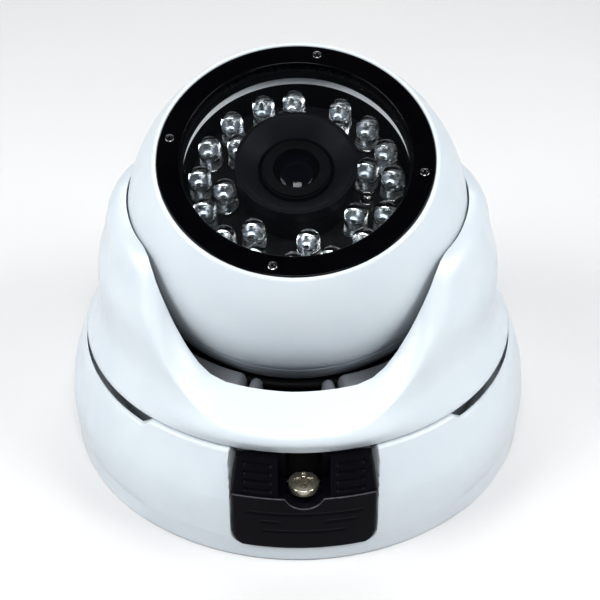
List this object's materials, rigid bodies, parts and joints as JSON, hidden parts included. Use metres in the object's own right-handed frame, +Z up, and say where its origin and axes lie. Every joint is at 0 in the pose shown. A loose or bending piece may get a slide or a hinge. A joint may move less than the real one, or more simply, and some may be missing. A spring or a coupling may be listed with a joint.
{
  "type": "dome camera",
  "caption": "Round-based dome camera whose white ball, with a glass window, lens and infrared lamps, pans, tilts and rolls in a two-armed yoke cover.",
  "frame": {"origin": "centre of the base's bottom face, on the pan axis", "axes": "+Z up from the mounting surface through the base, -Y to the front, where the ball looks at rest"},
  "size_m": [0.1074, 0.1084, 0.0868],
  "materials": {
    "white_paint": "painted white, satin, fine texture",
    "black_plastic": "matte",
    "black_metal": "anodised black, satin",
    "grey_metal": "painted grey, satin",
    "soft_grey": "matte",
    "black_rubber": "matte",
    "steel": "bright",
    "pivot_steel": "ground",
    "aluminium": "satin",
    "nylon": "satin",
    "window_glass": "clear",
    "lamp_resin": "clear",
    "lens_glass": "coated",
    "board_black": "satin",
    "board_green": "satin",
    "brass": "bright",
    "chip_black": "matte"
  },
  "bodies": {
    "base": {"base_casting": "white_paint", "base_gasket": "soft_grey", "pan_washer": "nylon", "lock_pad_front": "black_plastic", "lock_pad_back": "black_plastic", "lock_screws": "steel"},
    "yoke": {"yoke_cover": "white_paint", "seat_ring": "black_metal", "seat_screws": "steel", "seat_blocks": "soft_grey", "friction_ring": "black_rubber", "pivot_bushes": "nylon"},
    "gimbal": {"tilt_ring": "grey_metal", "pivot_pins": "pivot_steel"},
    "ball": {"front_shell": "white_paint", "rear_shell": "black_metal", "shell_seal": "black_rubber", "shell_screws": "steel", "bezel_ring": "black_metal", "bezel_screws": "steel", "front_glass": "window_glass", "glass_gasket": "black_rubber", "spacer_ring": "aluminium", "lamp_carrier": "black_plastic", "carrier_screws": "steel", "lamp_board": "board_black", "lamps_outer_ring": "lamp_resin", "lamps_inner_ring": "lamp_resin", "light_sensor": "lamp_resin", "lens_hood": "black_rubber", "lens_barrel": "black_metal", "lens_retainer": "black_metal", "front_lens": "lens_glass", "rear_lens": "lens_glass", "focus_lock_ring": "black_metal", "lens_holder": "black_plastic", "lens_holder_screws": "steel", "image_sensor": "chip_black", "sensor_board": "board_green", "board_standoffs": "brass", "power_board": "board_green", "video_chip": "chip_black", "power_connector": "nylon", "board_screws": "steel", "rear_grommet": "black_rubber"}
  },
  "joints": [
    {"name": "pan", "type": "hinge", "parent": "base", "child": "yoke", "pos_m": [0, 0, 0], "axis": [0, 0, 1], "range_deg": [-175, 175]},
    {"name": "tilt", "type": "hinge", "parent": "yoke", "child": "gimbal", "pos_m": [0, 0, 0.053], "axis": [0.9981, -0.061, 0], "range_deg": [-25, 54]},
    {"name": "roll", "type": "hinge", "parent": "gimbal", "child": "ball", "pos_m": [0, 0, 0.053], "axis": [-0.0264, -0.4313, 0.9018], "range_deg": [-170, 170]}
  ]
}
